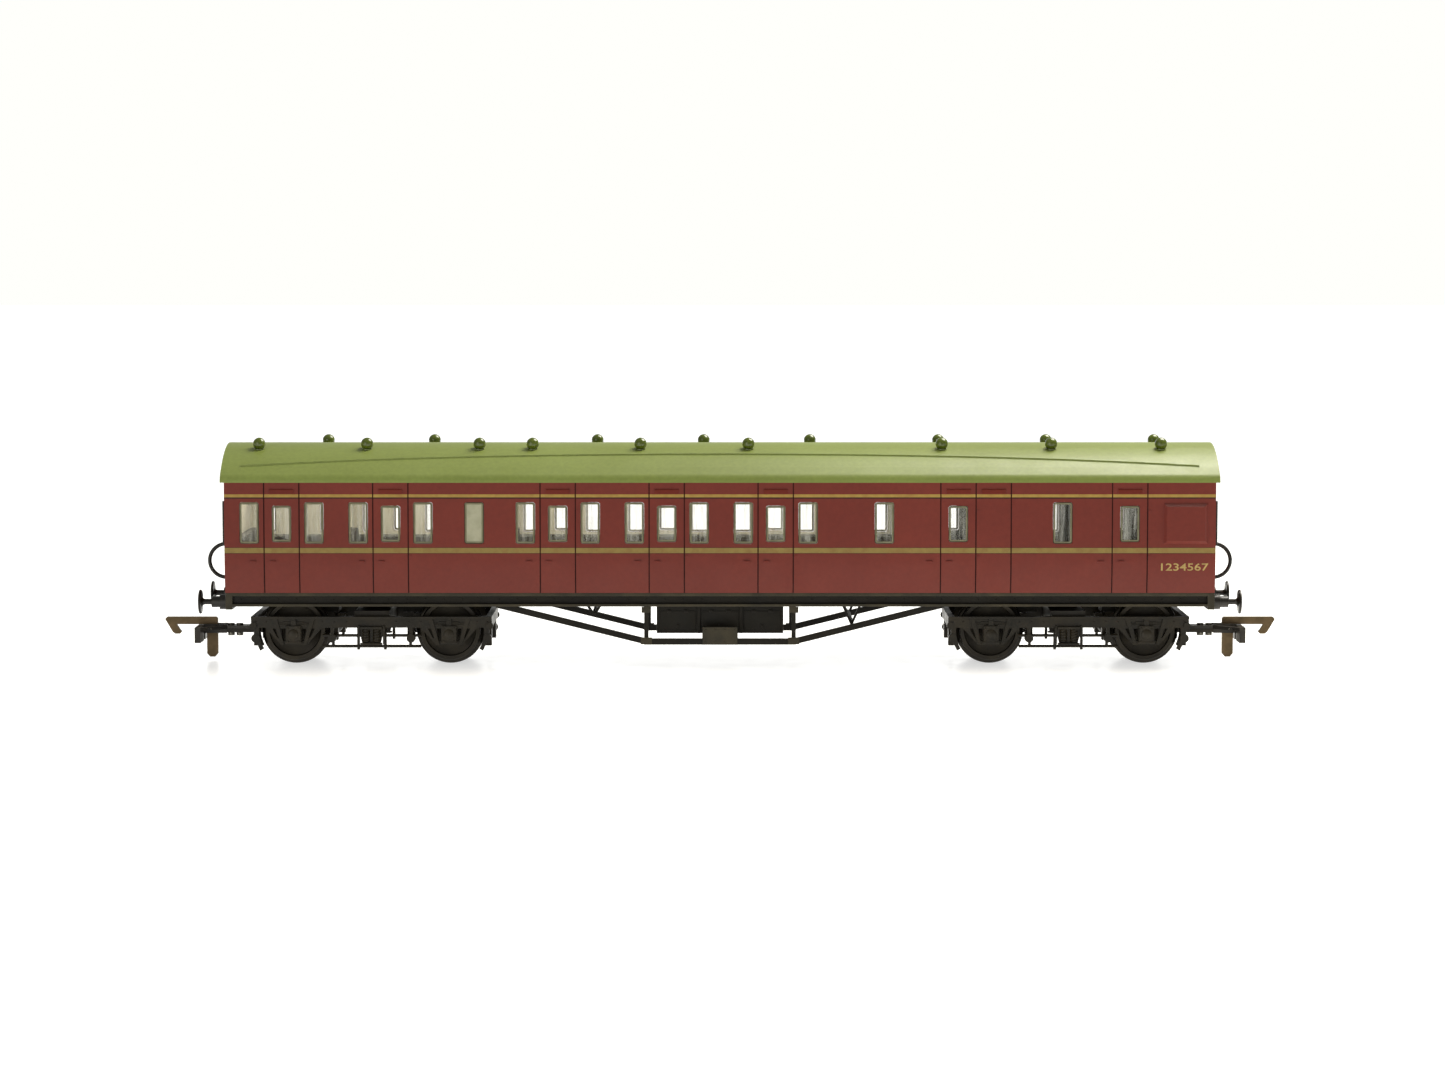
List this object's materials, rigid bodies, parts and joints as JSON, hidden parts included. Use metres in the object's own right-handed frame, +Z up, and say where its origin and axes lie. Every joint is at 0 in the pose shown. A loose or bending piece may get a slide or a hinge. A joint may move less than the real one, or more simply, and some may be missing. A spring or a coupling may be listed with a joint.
{
  "type": "model passenger coach",
  "caption": "4 mm scale bogie passenger coach with a guard's section: crimson body, green roof, swivelling bogies, rolling wheelsets and lifting coupling hooks.",
  "frame": {"origin": "centre of the footprint at the bottom of the wheel flanges", "axes": "+X along the coach towards the guard's end, +Y across it away from the near side, +Z up"},
  "size_m": [0.2606, 0.0386, 0.0526],
  "materials": {
    "body_paint": "satin crimson paint with printed lining",
    "roof_paint": "matt light green",
    "vent_paint": "satin dark olive",
    "clear_glazing": "clear moulded plastic",
    "frosted_glazing": "frosted moulded plastic",
    "interior_plastic": "matt",
    "underframe_plastic": "satin black",
    "bogie_plastic": "satin black",
    "fitting_plastic": "satin black",
    "weight_steel": "plain",
    "screw_steel": "plain",
    "pin_steel": "plain",
    "axle_steel": "turned",
    "wheel_metal": "blackened",
    "coupling_black": "black",
    "hook_metal": "dull bronze brown"
  },
  "bodies": {
    "coach": {"body_shell": "body_paint", "roof": "roof_paint", "roof_vents": "vent_paint", "near_glazing": "clear_glazing", "far_glazing": "clear_glazing", "lavatory_panes": "frosted_glazing", "interior_unit": "interior_plastic", "underframe": "underframe_plastic", "steel_weight": "weight_steel", "near_truss": "underframe_plastic", "far_truss": "underframe_plastic", "battery_box": "underframe_plastic", "brake_hangers": "underframe_plastic", "buffer_housings": "underframe_plastic", "end_rods": "fitting_plastic", "front_end_pipe": "fitting_plastic", "rear_end_pipe": "fitting_plastic", "front_pivot_screw": "screw_steel", "rear_pivot_screw": "screw_steel"},
    "front_bogie": {"front_bogie_frame": "bogie_plastic", "front_brake_rigging": "bogie_plastic", "front_coupling_loop": "coupling_black", "front_coupling_rivets": "coupling_black", "front_coupling_pin": "pin_steel"},
    "front_inner_wheelset": {"front_inner_axle": "axle_steel", "front_inner_wheels": "wheel_metal"},
    "front_outer_wheelset": {"front_outer_axle": "axle_steel", "front_outer_wheels": "wheel_metal"},
    "front_coupling_hook": {"front_coupling_hook": "hook_metal"},
    "front_near_buffer_head": {"front_near_buffer_head": "fitting_plastic"},
    "front_far_buffer_head": {"front_far_buffer_head": "fitting_plastic"},
    "rear_bogie": {"rear_bogie_frame": "bogie_plastic", "rear_brake_rigging": "bogie_plastic", "rear_coupling_loop": "coupling_black", "rear_coupling_rivets": "coupling_black", "rear_coupling_pin": "pin_steel"},
    "rear_inner_wheelset": {"rear_inner_axle": "axle_steel", "rear_inner_wheels": "wheel_metal"},
    "rear_outer_wheelset": {"rear_outer_axle": "axle_steel", "rear_outer_wheels": "wheel_metal"},
    "rear_coupling_hook": {"rear_coupling_hook": "hook_metal"},
    "rear_near_buffer_head": {"rear_near_buffer_head": "fitting_plastic"},
    "rear_far_buffer_head": {"rear_far_buffer_head": "fitting_plastic"}
  },
  "joints": [
    {"name": "bogie_swivel_front", "type": "hinge", "parent": "coach", "child": "front_bogie", "pos_m": [-0.08075, 0, 0.0126], "axis": [0, 0, 1], "range_deg": [-12, 12]},
    {"name": "bogie_swivel_rear", "type": "hinge", "parent": "coach", "child": "rear_bogie", "pos_m": [0.08075, 0, 0.0126], "axis": [0, 0, 1], "range_deg": [-12, 12]},
    {"name": "coupling_hook_lift_front", "type": "hinge", "parent": "front_bogie", "child": "front_coupling_hook", "pos_m": [-0.11925, 0, 0.0076], "axis": [0, 1, 0], "range_deg": [0, 35]},
    {"name": "coupling_hook_lift_rear", "type": "hinge", "parent": "rear_bogie", "child": "rear_coupling_hook", "pos_m": [0.11925, 0, 0.0076], "axis": [0, -1, 0], "range_deg": [0, 35]},
    {"name": "sprung_buffer_front_far", "type": "slide", "parent": "coach", "child": "front_far_buffer_head", "axis": [1, 0, 0], "range_m": [0, 0.001], "stiffness_N_per_m": 300},
    {"name": "sprung_buffer_front_near", "type": "slide", "parent": "coach", "child": "front_near_buffer_head", "axis": [1, 0, 0], "range_m": [0, 0.001], "stiffness_N_per_m": 300},
    {"name": "sprung_buffer_rear_far", "type": "slide", "parent": "coach", "child": "rear_far_buffer_head", "axis": [-1, 0, 0], "range_m": [0, 0.001], "stiffness_N_per_m": 300},
    {"name": "sprung_buffer_rear_near", "type": "slide", "parent": "coach", "child": "rear_near_buffer_head", "axis": [-1, 0, 0], "range_m": [0, 0.001], "stiffness_N_per_m": 300},
    {"name": "wheelset_spin_front_inner", "type": "hinge", "parent": "front_bogie", "child": "front_inner_wheelset", "pos_m": [-0.06275, 0, 0.00795], "axis": [0, 1, 0], "continuous": true},
    {"name": "wheelset_spin_front_outer", "type": "hinge", "parent": "front_bogie", "child": "front_outer_wheelset", "pos_m": [-0.09875, 0, 0.00795], "axis": [0, 1, 0], "continuous": true},
    {"name": "wheelset_spin_rear_inner", "type": "hinge", "parent": "rear_bogie", "child": "rear_inner_wheelset", "pos_m": [0.06275, 0, 0.00795], "axis": [0, 1, 0], "continuous": true},
    {"name": "wheelset_spin_rear_outer", "type": "hinge", "parent": "rear_bogie", "child": "rear_outer_wheelset", "pos_m": [0.09875, 0, 0.00795], "axis": [0, 1, 0], "continuous": true}
  ]
}
